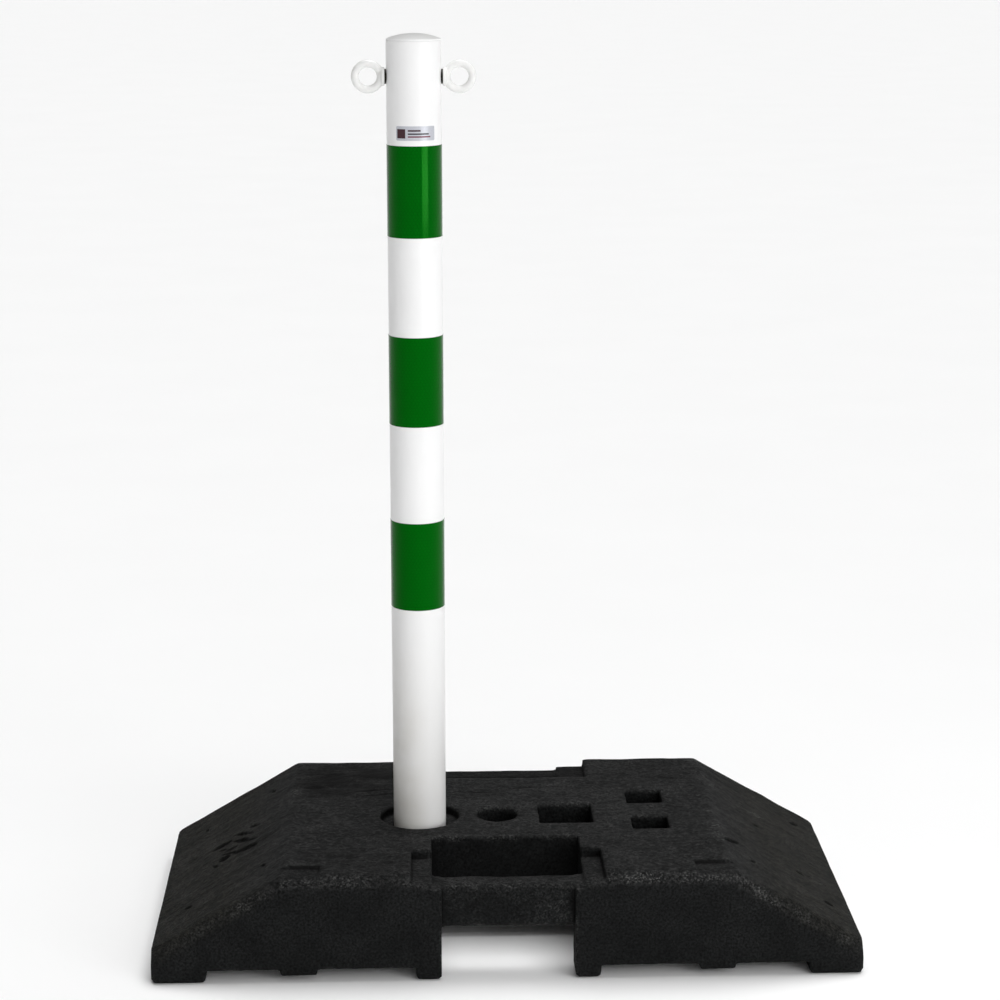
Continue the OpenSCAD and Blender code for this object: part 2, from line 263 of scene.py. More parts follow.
# Torn gouges and pits, each: centre x and y, half length, half width, depth, turn
# in degrees, in millimetres. The turn is measured on plan from the plate's long side.
torn = np.array([
    # A group of parallel tears on the left slope
    (-326, 38, 12, 6, 3.4, 0), (-300, 14, 13, 4.5, 3.8, -55), (-302, 40, 14, 3, 3, -55),
    (-288, 44, 10, 3.5, 2.6, -50), (-320, -14, 8, 7, 3.4, -45), (-296, -20, 17, 5.5, 3.2, -25),
    (-314, 6, 9, 4, 2.4, -25), (-310, 26, 4, 2, 2.2, -75), (-304, 22, 15, 2, 2.6, -50),
    (-294, 28, 12, 2, 2.2, -50), (-314, -6, 13, 2, 2.4, -40), (-290, 0, 11, 1.5, 2, -35),
    (-324, 20, 9, 1.5, 2, -40), (-308, 48, 7, 1.5, 2, -30),
    # Single pits on both slopes
    (-350, 130, 6, 2.5, 2.4, -80), (-330, -24, 7, 2.5, 2.2, -65), (-270, -116, 5, 3, 2.2, -80),
    (-270, 136, 5, 2.5, 2.2, -70), (-354, -116, 6, 4, 2.4, -40), (256, -80, 12, 5, 3, 40),
    (276, -116, 6, 2.5, 2.2, 60), (360, 140, 8, 4, 2.4, 45), (362, -120, 6, 5, 2.6, 30),
    (300, 40, 4, 3, 1.8, 0), (338, -60, 5, 3, 1.8, -20),
    # Long shallow creases on the flat top
    (-140, 74, 26, 3, 1.2, 10), (-152, 88, 22, 3, 1.2, 15), (-120, 92, 18, 2.5, 1, 5),
    (36, 92, 30, 3, 0.9, 5), (-30, 78, 24, 3, 0.9, -5), (206, 120, 16, 3, 0.9, -10)])
torn[:, :5] /= 1000

# The block is rebuilt in even quads of about 3.4 mm, its sharp edges kept.
plate_mesh = remeshed(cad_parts["base_plate"].data, mode="SHARP", octree_depth=8,
                      scale=0.9, sharpness=1.0, use_remove_disconnected=False)


def torn_depth(points, grow):
    """Depth of the gouges at each point: an elliptic hollow for each row of the table, whose
    sides are stretched by grow; where two meet, the deeper one counts."""
    deepest = np.zeros(len(points))
    for x, y, half_long, half_wide, depth, turn in torn:
        c, s = math.cos(math.radians(turn)), math.sin(math.radians(turn))
        along = ((points[:, 0] - x) * c + (points[:, 1] - y) * s) / (half_long + grow)
        across = ((points[:, 1] - y) * c - (points[:, 0] - x) * s) / (half_wide + grow)
        hollow = np.clip(1 - along ** 2 - across ** 2, 0, 1) ** 0.6
        deepest = np.maximum(deepest, hollow * depth)
    return deepest


# Finer faces where the surface is torn, so that the hollows keep their edges.
centres = np.empty(len(plate_mesh.polygons) * 3)
plate_mesh.polygons.foreach_get("center", centres)
facing = np.empty(len(plate_mesh.polygons) * 3)
plate_mesh.polygons.foreach_get("normal", facing)
near = torn_depth(centres.reshape(-1, 3), 0.003) > 0
near &= facing.reshape(-1, 3)[:, 2] > 0.5
finer = bmesh.new()
finer.from_mesh(plate_mesh)
finer.faces.ensure_lookup_table()
finer.edges.ensure_lookup_table()
picked = {edge.index for i in np.flatnonzero(near).tolist() for edge in finer.faces[i].edges}
bmesh.ops.subdivide_edges(finer, edges=[finer.edges[i] for i in sorted(picked)], cuts=2,
                          use_grid_fill=True)
finer.to_mesh(plate_mesh)
finer.free()
points, edges = read_points(plate_mesh)
points = relaxed(points, edges, 2, 0.35)

# The long upper edges: along the flat top, and down the two slopes.
front_edge = np.minimum.reduce([
    segment_distance(points, (-top_end, front_y, plate_top), (top_end, front_y, plate_top)),
    segment_distance(points, (-top_end, front_y, plate_top), (-low_end, front_y, end_top)),
    segment_distance(points, (top_end, front_y, plate_top), (low_end, front_y, end_top))])
edge_zone = (1 - smooth_step(front_edge, 0.006, 0.020))[:, None]
softened = relaxed(points, edges, 14, 0.5)
points = points + edge_zone * (softened - points)

plate_mesh.vertices.foreach_set("co", points.ravel())
plate_mesh.update()
normals = read_normals(plate_mesh)
ridge = np.einsum("ij,ij->i", points - relaxed(points, edges, 10, 0.5), normals)
corner_wear = smooth_step(ridge, 0.0008, 0.0022)
front_wear = 1 - smooth_step(front_edge, 0.0085, 0.0125)
front_wear *= 0.3 + 0.7 * smooth_step(points[:, 2], 0.06, 0.112)
front_wear *= 0.35 + 0.65 * smooth_step(lattice_noise(points, 0.03, 11), -0.5, 0.2)
# The sunk bar of the front grip is worn along both its front edges.
bar_half, bar_front, bar_low, bar_top = 0.072, -0.19, 0.057, 0.106
bar_edge = np.minimum.reduce([
    segment_distance(points, (-bar_half, bar_front, z), (bar_half, bar_front, z))
    for z in (bar_top, bar_low)])
bar_wear = 1 - smooth_step(bar_edge, 0.003, 0.006)
# Rubbed too: the rear lips of the square socket, the round socket and the front
# opening, and a streak behind the round socket.
rubbed_lips = [((0.044, 0.036), (0.102, 0.036)), ((-0.022, 0.027), (0.010, 0.027)),
               ((-0.083, -0.074), (0.083, -0.074)), ((0.0, 0.052), (0.028, 0.072))]
lip = np.minimum.reduce([segment_distance(points, (*start, plate_top), (*end, plate_top))
                         for start, end in rubbed_lips])
lip_wear = 1 - smooth_step(lip, 0.0025, 0.0085)
# A scrape down the right slope, and the two slopes' upper edges, are scuffed in patches.
scrape = [(0.256, 0.107, 0.112), (0.282, 0.095, 0.097), (0.318, 0.088, 0.077),
          (0.343, 0.050, 0.062), (0.367, 0.009, 0.049)]
scuffed = np.minimum.reduce([segment_distance(points, start, end)
                             for start, end in zip(scrape[:-1], scrape[1:])])
scuff = 0.8 * (1 - smooth_step(scuffed, 0.004, 0.024))
slope_edge = np.minimum(
    segment_distance(points, (-top_end, -0.15, plate_top), (-top_end, 0.19, plate_top)),
    segment_distance(points, (top_end, -0.15, plate_top), (top_end, 0.19, plate_top)))
scuff = np.maximum(scuff, 0.6 * (1 - smooth_step(slope_edge, 0.003, 0.018)))
scuff *= smooth_step(lattice_noise(points, 0.016, 12), -0.3, 0.5)
# Loose grains show in patches all over the top, and evenly on the front grip's bar.
scuff = np.maximum(scuff, 0.30 * (normals[:, 2] > 0.5)
                   * smooth_step(lattice_noise(points, 0.02, 15), -0.4, 0.6))
on_bar = ((np.abs(points[:, 0]) < bar_half - 0.0008) & (points[:, 1] < -0.156)
          & (points[:, 2] > bar_low - 0.002))
scuff = np.maximum(scuff, 0.28 * on_bar)
# A dark, wrinkled patch behind the post on the left, a quarter wider than it is deep, and
# a slow drift of tone elsewhere.
stain_x, stain_y = -0.175, 0.125
stain = 1 - smooth_step(np.hypot((points[:, 0] - stain_x) / 1.25, points[:, 1] - stain_y),
                        0.035, 0.085)
stain *= 0.75 + 0.4 * lattice_noise(points, (0.03, 0.02, 0.03), 13)
stain = np.maximum(stain, 0.35 * lattice_noise(points, 0.09, 14) ** 2 * (normals[:, 2] > 0.5))
# Painted shade in the hollows: concave edges and wide hollows, the rear wall of the nub
# recesses, 46 mm long and fading outwards, the ring round the post, the front opening and
# the notch at the back.
wide_hollow = np.einsum("ij,ij->i", relaxed(points, edges, 70, 0.5) - points, normals)
from_middle = np.abs(points[:, 0])
below_top = plate_top - points[:, 2]
flattened = points * (1, 1, 0.6)
recess_wall = np.minimum.reduce([
    segment_distance(flattened, (side * 0.206, -0.16, 0.0705), (side * 0.252, -0.16, 0.0705))
    for side in (-1, 1)])
in_recess = 1 - smooth_step(recess_wall, 0.0009, 0.0019)
in_recess *= 1 - smooth_step(from_middle, 0.232, 0.250)
from_post = np.hypot(points[:, 0] - post_x, points[:, 1])
in_ring = (from_post < 0.047) & (from_post > 0.0435) & (below_top > 0.0015)
in_opening = ((from_middle < 0.0835) & (points[:, 1] > -0.158) & (points[:, 1] < -0.0745)
              & (below_top > 0.003))
in_notch = (points[:, 1] > 0.134) & (from_middle < 0.107) & (below_top > 0.004)
painted_shade = np.maximum.reduce([
    smooth_step(-ridge, 0.0004, 0.0020), 0.8 * smooth_step(wide_hollow, 0.0008, 0.0045),
    in_recess, 1.0 * in_ring, 0.3 * in_opening, 0.55 * in_notch])

# Unevenness: slow waves, and flow ripples that run along the plate.
upward = smooth_step(normals[:, 2], 0.3, 0.8)
waves = 0.0004 * lattice_noise(points, 0.07, 1) + 0.0002 * lattice_noise(points, 0.022, 2)
bent = points + 0.012 * np.stack([lattice_noise(points, 0.06, seed) for seed in (3, 4, 5)],
                                 axis=1)
ripples = lattice_noise(bent, (0.045, 0.010, 0.03), 6)
ripples = 0.0005 * ripples + 0.0003 * lattice_noise(bent, (0.022, 0.006, 0.012), 7)
ripples *= 1 + 1.5 * np.clip(stain, 0, 1)
chipped = np.clip(lattice_noise(points, 0.009, 8) + 0.4 * lattice_noise(points, 0.0045, 9),
                  0, 1)
offset = waves + upward * ripples - chipped * np.maximum(0.0005 * corner_wear,
                                                         0.0013 * front_wear)

gouge = torn_depth(points, 0.0) * (normals[:, 2] > 0.4)
gouge *= 1 + 0.35 * lattice_noise(points, 0.005, 10)
offset -= gouge

# The feet stay flat on the ground, and above its floor the socket's wall stays 0.8 mm
# clear of the tube.
offset *= smooth_step(from_post, 0.032, 0.040)
offset *= smooth_step(points[:, 2], 0.001, 0.006)
points = points + normals * offset[:, None]
tube_room = (post_high[0] - post_low[0]) / 2 + 0.0008
from_post = np.hypot(points[:, 0] - post_x, points[:, 1])
tight = (from_post < tube_room) & (from_post > 0.02) & (points[:, 2] > 0.0245)
push = np.where(tight, tube_room / np.maximum(from_post, 1e-6), 1.0)
points[:, 0] = post_x + (points[:, 0] - post_x) * push
points[:, 1] *= push
points[:, 2] = np.maximum(points[:, 2], 0)

plate_mesh.vertices.foreach_set("co", points.ravel())
shaded(plate_mesh)
# The hollows' painted shade and the gouges' depth go to the material, which paints both dark as
# shade.
for name, value in (("rubbed", np.maximum.reduce([front_wear, 0.5 * corner_wear,
                                                  0.55 * bar_wear, 0.5 * lip_wear, scuff])),
                    ("stain", np.clip(stain, 0, 1)),
                    ("painted_shade", painted_shade),
                    ("torn", np.clip(gouge / 0.0016, 0, 1))):
    layer = plate_mesh.attributes.new(name, "FLOAT", "POINT")
    layer.data.foreach_set("value", value.astype(np.float32))
plate_mesh.update()
base_plate = placed("base_plate_moulded", plate_mesh)

# Pressed recycled PVC: a dull charcoal with a fine grain, darker in blotches of about
# 35 mm. The gouges and the hollows are painted nearly black as painted shade.
recycled_pvc, tree = empty_material("pressed_recycled_pvc")
place = add(tree, "ShaderNodeTexCoord").outputs["Object"]
rubbed = add(tree, "ShaderNodeAttribute", attribute_name="rubbed").outputs["Fac"]
gouge_shade_mask = add(tree, "ShaderNodeAttribute", attribute_name="torn").outputs["Fac"]
painted_shade_mask = add(tree, "ShaderNodeAttribute", attribute_name="painted_shade").outputs["Fac"]
stain_mask = add(tree, "ShaderNodeAttribute", attribute_name="stain").outputs["Fac"]
outside = add(tree, "ShaderNodeNewGeometry").outputs["Normal"]
upness = add(tree, "ShaderNodeSeparateXYZ", {"Vector": outside}).outputs["Z"]
blotch = add(tree, "ShaderNodeTexNoise", {"Vector": place, "Scale": 28.0, "Detail": 5.0,
                                          "Roughness": 0.6})
flow = add(tree, "ShaderNodeTexNoise", {"Vector": place, "Scale": 60.0, "Detail": 7.0,
                                        "Roughness": 0.6, "Distortion": 1.4},
           noise_type="RIDGED_MULTIFRACTAL")
lumps = add(tree, "ShaderNodeTexNoise", {"Vector": place, "Scale": 165.0, "Detail": 5.0,
                                         "Roughness": 0.62, "Distortion": 0.5})
grain = add(tree, "ShaderNodeTexNoise", {"Vector": place, "Scale": 380.0, "Detail": 4.0,
                                         "Roughness": 0.65})
blotch_step = add(tree, "ShaderNodeMapRange", {"Value": blotch.outputs["Fac"],
                                               "From Min": 0.15, "From Max": 0.85})
body_tone = add(tree, "ShaderNodeMix", {0: blotch_step.outputs[0], 6: srgb("#080909"),
                                        7: srgb("#1a1b1b")}, data_type="RGBA")
lump_step = add(tree, "ShaderNodeMapRange", {"Value": lumps.outputs["Fac"], "From Min": 0.42,
                                             "From Max": 0.62})
lump_mask = add(tree, "ShaderNodeMath", {0: lump_step.outputs[0], 1: upness},
                operation="MULTIPLY", use_clamp=True)
lump_tone = add(tree, "ShaderNodeMix", {0: lump_mask.outputs[0], 6: body_tone.outputs[2],
                                        7: srgb("#262626")}, data_type="RGBA")
grain_step = add(tree, "ShaderNodeMapRange", {"Value": grain.outputs["Fac"], "From Min": 0.36,
                                              "From Max": 0.64, "To Min": 0.1, "To Max": 1.9})
# The stain darkens the surface to a fifth, and a film of road dust warms the two slopes.
stained = add(tree, "ShaderNodeMapRange", {"Value": stain_mask, "To Min": 1.0, "To Max": 0.2})
shade = add(tree, "ShaderNodeMath", {0: grain_step.outputs[0], 1: stained.outputs[0]},
            operation="MULTIPLY")
grain_scaled = add(tree, "ShaderNodeVectorMath", {0: lump_tone.outputs[2],
                                                  "Scale": shade.outputs[0]},
                   operation="SCALE")
spot = add(tree, "ShaderNodeSeparateXYZ", {"Vector": place})
outward = add(tree, "ShaderNodeMath", {0: spot.outputs["X"]}, operation="ABSOLUTE")
dusty = add(tree, "ShaderNodeMapRange", {"Value": outward.outputs[0], "From Min": 0.25,
                                         "From Max": 0.31})
dusty_up = add(tree, "ShaderNodeMath", {0: dusty.outputs[0], 1: upness},
               operation="MULTIPLY", use_clamp=True)
grain_tone = add(tree, "ShaderNodeMix", {0: dusty_up.outputs[0], 6: grain_scaled.outputs[0],
                                         7: srgb("#fffae6")},
                 data_type="RGBA", blend_type="MULTIPLY")
# Rubbed edges: the ground chips show as pale grains 1 to 2 mm across, in patches.
chip_cells = add(tree, "ShaderNodeTexVoronoi", {"Vector": place, "Scale": 640.0})
chip_pick = add(tree, "ShaderNodeSeparateColor", {"Color": chip_cells.outputs["Color"]})
patch = add(tree, "ShaderNodeMapRange", {"Value": blotch.outputs["Fac"], "From Min": 0.40,
                                         "From Max": 0.6, "To Min": 0.2})
chip_step = add(tree, "ShaderNodeMapRange", {"Value": chip_pick.outputs[0], "From Min": 0.58,
                                             "From Max": 1.0})
chip_patch = add(tree, "ShaderNodeMath", {0: chip_step.outputs[0], 1: patch.outputs[0]},
                 operation="MULTIPLY")
chip_mask = add(tree, "ShaderNodeMath", {0: chip_patch.outputs[0], 1: rubbed},
                operation="MULTIPLY")
chip_tone = add(tree, "ShaderNodeMix", {0: chip_mask.outputs[0], 6: grain_tone.outputs[2],
                                        7: srgb("#565655")}, data_type="RGBA")
# Painted shade: the gouges and the hollows turn nearly black.
shade_mask_all = add(tree, "ShaderNodeMath", {0: gouge_shade_mask, 1: painted_shade_mask}, operation="MAXIMUM")
painted_shade_tone = add(tree, "ShaderNodeMix", {0: shade_mask_all.outputs[0], 6: chip_tone.outputs[2],
                                        7: srgb("#040404")}, data_type="RGBA")
fine = add(tree, "ShaderNodeMath", {0: grain.outputs["Fac"], 1: 0.35,
                                    2: lumps.outputs["Fac"]}, operation="MULTIPLY_ADD")
height = add(tree, "ShaderNodeMath", {0: flow.outputs["Fac"], 1: 0.35, 2: fine.outputs[0]},
             operation="MULTIPLY_ADD")
relief = add(tree, "ShaderNodeBump", {"Height": height.outputs[0], "Strength": 0.8,
                                      "Distance": 0.004})
dull = add(tree, "ShaderNodeMapRange", {"Value": grain.outputs["Fac"], "To Min": 0.62,
                                        "To Max": 0.92})
shell = add(tree, "ShaderNodeBsdfPrincipled", {"Base Color": painted_shade_tone.outputs[2],
                                               "Roughness": dull.outputs[0],
                                               "Specular IOR Level": 0.1,
                                               "Normal": relief.outputs["Normal"]})
add(tree, "ShaderNodeOutputMaterial", {"Surface": shell.outputs["BSDF"]})
base_plate.data.materials.append(recycled_pvc)
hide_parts("base_plate")
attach(base_plate, "base")


# ---------------------------------------------------------------------------
# Post tube. A 60 mm steel tube, sawn square, powder-coated white inside an oven:
# a hard satin skin with a faint orange peel, with a beige, darker stretch near the plate: a
# splash film and painted shade.
# ---------------------------------------------------------------------------
def grid_quads(rows, columns, round_trip):
    """The four corners of each cell of a grid whose points are counted row by row; the last
    column joins the first if round_trip."""
    line, step = np.arange(rows - 1)[:, None], np.arange(columns if round_trip else columns - 1)
    after = (step + 1) % columns
    return np.stack([line * columns + step, line * columns + after,
                     (line + 1) * columns + after, (line + 1) * columns + step], axis=-1)


def outward_faces(mesh, join=0.0):
    """Turns the mesh's faces outwards, after merging points closer than join if it is set."""
    whole = bmesh.new()
    whole.from_mesh(mesh)
    if join:
        bmesh.ops.remove_doubles(whole, verts=whole.verts, dist=join)
    bmesh.ops.recalc_face_normals(whole, faces=whole.faces)
    whole.to_mesh(mesh)
    whole.free()


def surface(name, grid, around, along):
    """A mesh from a grid of points (rows, columns, 3) whose columns join up; a first or last
    row that has shrunk to one point becomes a pole. The UV map holds around and along, the
    distances in millimetres at each grid line."""
    quads = grid_quads(*grid.shape[:2], True)
    along_low, along_high = along[:-1][:, None], along[1:][:, None]
    around_low, around_high = around[:-1], around[1:]
    shape = quads.shape[:2]
    uv = np.stack([np.stack([np.broadcast_to(u, shape), np.broadcast_to(v, shape)], axis=-1)
                   for u, v in ((around_low, along_low), (around_high, along_low),
                                (around_high, along_high), (around_low, along_high))], axis=2)
    mesh = bpy.data.meshes.new(name)
    mesh.from_pydata(grid.reshape(-1, 3).tolist(), [], quads.reshape(-1, 4).tolist())
    layer = mesh.uv_layers.new(name="millimetres")
    layer.data.foreach_set("uv", uv.reshape(-1).astype(np.float32))
    shaded(mesh)
    outward_faces(mesh, join=1e-7)
    mesh.set_sharp_from_angle(angle=math.radians(35))
    mesh.update()
    return placed(name, mesh)


def turned(name, profile, steps=160):
    """A surface of revolution about the post's axis: x = cx + r cos t, y = r sin t, z = h for
    each profile point (r, h) in metres and each of the steps of the angle t."""
    profile = np.asarray(profile)
    t = np.linspace(0, 2 * math.pi, steps, endpoint=False)
    radius, height = profile[:, :1], profile[:, 1:]
    grid = np.stack([post_x + radius * np.cos(t), radius * np.sin(t),
                     np.broadcast_to(height, (len(profile), steps))], axis=-1)
    around = np.linspace(0, 2 * math.pi * profile[:, 0].max() * 1000, steps + 1)
    run = np.linalg.norm(np.diff(profile, axis=0), axis=1).cumsum() * 1000
    return surface(name, grid, around, np.concatenate([[0], run]))


# 60 mm outside, 2.5 mm thick, the sawn ends broken by 0.4 mm.
tube_radius = (post_high[0] - post_low[0]) / 2
tube_wall = 0.0025
bore_radius = tube_radius - tube_wall
edge = 0.0004
foot_z, head_z = post_low[2], post_high[2]
tube_profile = [(bore_radius, foot_z), (tube_radius - edge, foot_z), (tube_radius, foot_z + edge)]
tube_profile += [(tube_radius, z) for z in np.linspace(foot_z + 0.01, head_z - 0.01, 60)]
tube_profile += [(tube_radius, head_z - edge), (tube_radius - edge, head_z),
                 (bore_radius, head_z), (bore_radius, foot_z)]
post_tube = turned("post_tube_coated", tube_profile)

# Polyester powder coat: bright white, satin, the melt's orange peel about 2.5 mm across.
# Near the plate the coat turns beige and darker, most on the left: partly a thin rain-splash
# film, partly painted shade from the plate below and the dim left side. Faces turned up are
# greyed, partly by dust and partly as painted shade.
powder_coat, tree = empty_material("white_polyester_powder_coat")
place = add(tree, "ShaderNodeTexCoord").outputs["Object"]
peel = add(tree, "ShaderNodeTexNoise", {"Vector": place, "Scale": 400.0, "Detail": 1.0})
cloud = add(tree, "ShaderNodeTexNoise", {"Vector": place, "Scale": 22.0, "Detail": 5.0})
spot = add(tree, "ShaderNodeSeparateXYZ", {"Vector": place})
low_splash_shade = add(tree, "ShaderNodeMapRange", {"Value": spot.outputs["Z"], "From Min": 0.11,
                                          "From Max": 0.40, "To Min": 0.9, "To Max": 0.0},
             interpolation_type="SMOOTHSTEP")
# Darker on the left: painted shade of the side turned away from the light.
shadow_side = add(tree, "ShaderNodeMapRange", {"Value": spot.outputs["X"],
                                            "From Min": post_x - 0.028,
                                            "From Max": post_x + 0.012, "To Min": 1.0,
                                            "To Max": 0.2})
splash_and_shade = add(tree, "ShaderNodeMath", {0: low_splash_shade.outputs[0], 1: shadow_side.outputs[0]},
            operation="MULTIPLY")
patchy_splash_shade = add(tree, "ShaderNodeMath", {0: splash_and_shade.outputs[0], 1: cloud.outputs["Fac"]},
             operation="MULTIPLY")
white = add(tree, "ShaderNodeMix", {0: cloud.outputs["Fac"], 6: srgb("#ececec"),
                                    7: srgb("#f2f2f2")}, data_type="RGBA")
splashed_and_shaded = add(tree, "ShaderNodeMix", {0: patchy_splash_shade.outputs[0], 6: white.outputs[2],
                                       7: srgb("#a8a18c")}, data_type="RGBA")
outside = add(tree, "ShaderNodeNewGeometry").outputs["Normal"]
upness = add(tree, "ShaderNodeSeparateXYZ", {"Vector": outside}).outputs["Z"]
# Faces turned up, the cap's dome above all, are greyed: partly settled dust, partly painted
# shade.
dust_and_shade_up = add(tree, "ShaderNodeMapRange", {"Value": upness, "From Min": 0.5, "From Max": 1.0,
                                           "To Max": 0.8})
dusted_and_shaded = add(tree, "ShaderNodeMix", {0: dust_and_shade_up.outputs[0], 6: splashed_and_shaded.outputs[2],
                                     7: srgb("#cbcbca")}, data_type="RGBA")
satin = add(tree, "ShaderNodeMapRange", {"Value": cloud.outputs["Fac"], "To Min": 0.28,
                                         "To Max": 0.42})
melt = add(tree, "ShaderNodeBump", {"Height": peel.outputs["Fac"], "Strength": 0.25,
                                    "Distance": 0.0002})
coat = add(tree, "ShaderNodeBsdfPrincipled", {"Base Color": dusted_and_shaded.outputs[2],
                                              "Roughness": satin.outputs[0],
                                              "Normal": melt.outputs["Normal"]})
add(tree, "ShaderNodeOutputMaterial", {"Surface": coat.outputs["BSDF"]})
post_tube.data.materials.append(powder_coat)
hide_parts("post_tube")
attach(post_tube, "post")


# ---------------------------------------------------------------------------
# Top cap. A shallow domed steel cap tapped into the tube's upper end and coated
# with it; its rim stands flush with the tube, a hairline seam below it.
# ---------------------------------------------------------------------------
# The dome rises 6 mm over the rim, whose edge is rounded to 0.9 mm; the spigot is 2.4 mm
# thick and clears the bore by 0.05 mm.
cap_low, cap_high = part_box("top_cap")
rise, shoulder_r, spigot_wall = 0.006, 0.0009, 0.0024
rim_z = cap_high[2] - rise
seam_z = rim_z - 0.0015
dome_radius = (tube_radius ** 2 + rise ** 2) / (2 * rise)
dome_r = (tube_radius - shoulder_r) * np.linspace(0, 1, 26)[:, None]
dome_z = cap_high[2] - dome_radius + np.sqrt(dome_radius ** 2 - dome_r ** 2)
turn_in = np.linspace(0, math.pi / 2, 6)[:, None]
shoulder = np.concatenate([tube_radius - shoulder_r + shoulder_r * np.sin(turn_in),
                           rim_z - 0.0006 + shoulder_r * np.cos(turn_in)], axis=1)[1:]
spigot_r = bore_radius - 0.00005
spigot_in = spigot_r - spigot_wall
cap_profile = np.concatenate([
    np.concatenate([dome_r, dome_z], axis=1), shoulder,
    [(tube_radius, seam_z + 0.0002), (tube_radius - 0.0002, seam_z), (spigot_r, seam_z),
     (spigot_r, cap_low[2] + 0.001), (spigot_r - 0.001, cap_low[2]),
     (spigot_in, cap_low[2]), (spigot_in, seam_z - 0.001), (0, seam_z - 0.001)]])
top_cap = turned("top_cap_domed", cap_profile)
top_cap.data.materials.append(powder_coat)
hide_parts("top_cap")
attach(top_cap, "post")

# Bottom plug. A polyethylene plug in the tube's lower end, seen only when the post is
# lifted out: moulded black, scuffed grey by grit.
polyethylene, tree = empty_material("moulded_polyethylene")
place = add(tree, "ShaderNodeTexCoord").outputs["Object"]
grit = add(tree, "ShaderNodeTexNoise", {"Vector": place, "Scale": 300.0, "Detail": 6.0})
grit_step = add(tree, "ShaderNodeMapRange", {"Value": grit.outputs["Fac"], "From Min": 0.5,
                                             "From Max": 0.75})
black = add(tree, "ShaderNodeMix", {0: grit_step.outputs[0], 6: srgb("#161616"),
                                    7: srgb("#3a3936")}, data_type="RGBA")
waxy = add(tree, "ShaderNodeBsdfPrincipled", {"Base Color": black.outputs[2],
                                              "Roughness": 0.55})
add(tree, "ShaderNodeOutputMaterial", {"Surface": waxy.outputs["BSDF"]})
bottom_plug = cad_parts["bottom_plug"]
bottom_plug.data.materials.clear()
bottom_plug.data.materials.append(polyethylene)


# ---------------------------------------------------------------------------
# Reflective bands. Green encapsulated-bead film, 100 mm wide, wrapped once round
# the tube and lapped over its own start at the back. Its clear face is welded to
# the carrier in a honeycomb that shows faintly under the gloss.
# ---------------------------------------------------------------------------
def wrapped(name, turns, section):
    """A strip bent round the post: at each angle of turns the closed outline section
    (turns, points, 2) holds radius and height; both ends are closed by a face."""
    radius, height = section[..., 0], section[..., 1]
    grid = np.stack([post_x + radius * np.cos(turns)[:, None],
                     radius * np.sin(turns)[:, None], height], axis=-1)
    rows, columns = grid.shape[:2]
    quads = grid_quads(rows, columns, True)
    ends = [list(range(columns)), list(range(rows * columns - 1, (rows - 1) * columns - 1, -1))]
    mesh = bpy.data.meshes.new(name)
    mesh.from_pydata(grid.reshape(-1, 3).tolist(), [], quads.reshape(-1, 4).tolist() + ends)
    loops = np.empty(len(mesh.loops), dtype=np.int64)
    mesh.loops.foreach_get("vertex_index", loops)
    run = (turns - turns[0]) * radius.mean() * 1000
    uv = np.stack([np.repeat(run, columns)[loops],
                   (height.ravel()[loops] - height.min()) * 1000], axis=1)
    layer = mesh.uv_layers.new(name="millimetres")
    layer.data.foreach_set("uv", uv.reshape(-1).astype(np.float32))
    outward_faces(mesh)
    shaded(mesh)
    mesh.set_sharp_from_angle(angle=math.radians(35))
    mesh.update()
    return placed(name, mesh)


film_thickness, lap = 0.0003, 0.008
film_turns = math.pi / 2 + np.linspace(0, 2 * math.pi + lap / tube_radius, 180)
past_start = (film_turns - film_turns[0] - 2 * math.pi) * tube_radius
film_lift = film_thickness * smooth_step(past_start, -0.004, 0.0)

# Retroreflective sheeting: glass-like green face over a metallised carrier. The cells of
# the honeycomb are 4 mm across: a point belongs to the nearer of two rectangular grids of
# cell centres, and lies on a seal where it is far from that centre.
green_film, tree = empty_material("green_retroreflective_film")
uv = add(tree, "ShaderNodeUVMap", uv_map="millimetres").outputs["UV"]
cell, tall = 4.0, 4.0 * math.sqrt(3)
inset = add(tree, "ShaderNodeVectorMath", {0: uv, 1: (0.5, 0.5, 0.0)}, operation="ADD")
half_cell = (cell / 2, tall / 2, 0.0)
from_centre, centre_far = [], []
for shift in ((0.0, 0.0, 0.0), half_cell):
    shifted = add(tree, "ShaderNodeVectorMath", {0: inset.outputs[0], 1: shift},
                  operation="ADD")
    tile = add(tree, "ShaderNodeVectorMath", {0: shifted.outputs[0], 1: (cell, tall, 1.0)},
               operation="MODULO")
    centred = add(tree, "ShaderNodeVectorMath", {0: tile.outputs[0], 1: half_cell},
                  operation="SUBTRACT")
    far = add(tree, "ShaderNodeVectorMath", {0: centred.outputs[0]}, operation="LENGTH")
    from_centre.append(centred.outputs[0])
    centre_far.append(far.outputs["Value"])
nearer = add(tree, "ShaderNodeMath", {0: centre_far[1], 1: centre_far[0]},
             operation="LESS_THAN")
offset_in_cell = add(tree, "ShaderNodeMix", {0: nearer.outputs[0], 4: from_centre[0],
                                             5: from_centre[1]}, data_type="VECTOR")
inside = add(tree, "ShaderNodeVectorMath", {0: offset_in_cell.outputs[1]},
             operation="ABSOLUTE")
across = add(tree, "ShaderNodeSeparateXYZ", {"Vector": inside.outputs[0]})
slant = add(tree, "ShaderNodeVectorMath", {0: inside.outputs[0],
                                           1: (0.5, math.sqrt(3) / 2, 0.0)},
            operation="DOT_PRODUCT")
reach = add(tree, "ShaderNodeMath", {0: across.outputs["X"], 1: slant.outputs["Value"]},
            operation="MAXIMUM")
seal = add(tree, "ShaderNodeMapRange", {"Value": reach.outputs[0], "From Min": cell / 2 - 0.55,
                                        "From Max": cell / 2 - 0.15})
beads = add(tree, "ShaderNodeTexNoise", {"Vector": uv, "Scale": 2.2, "Detail": 3.0})
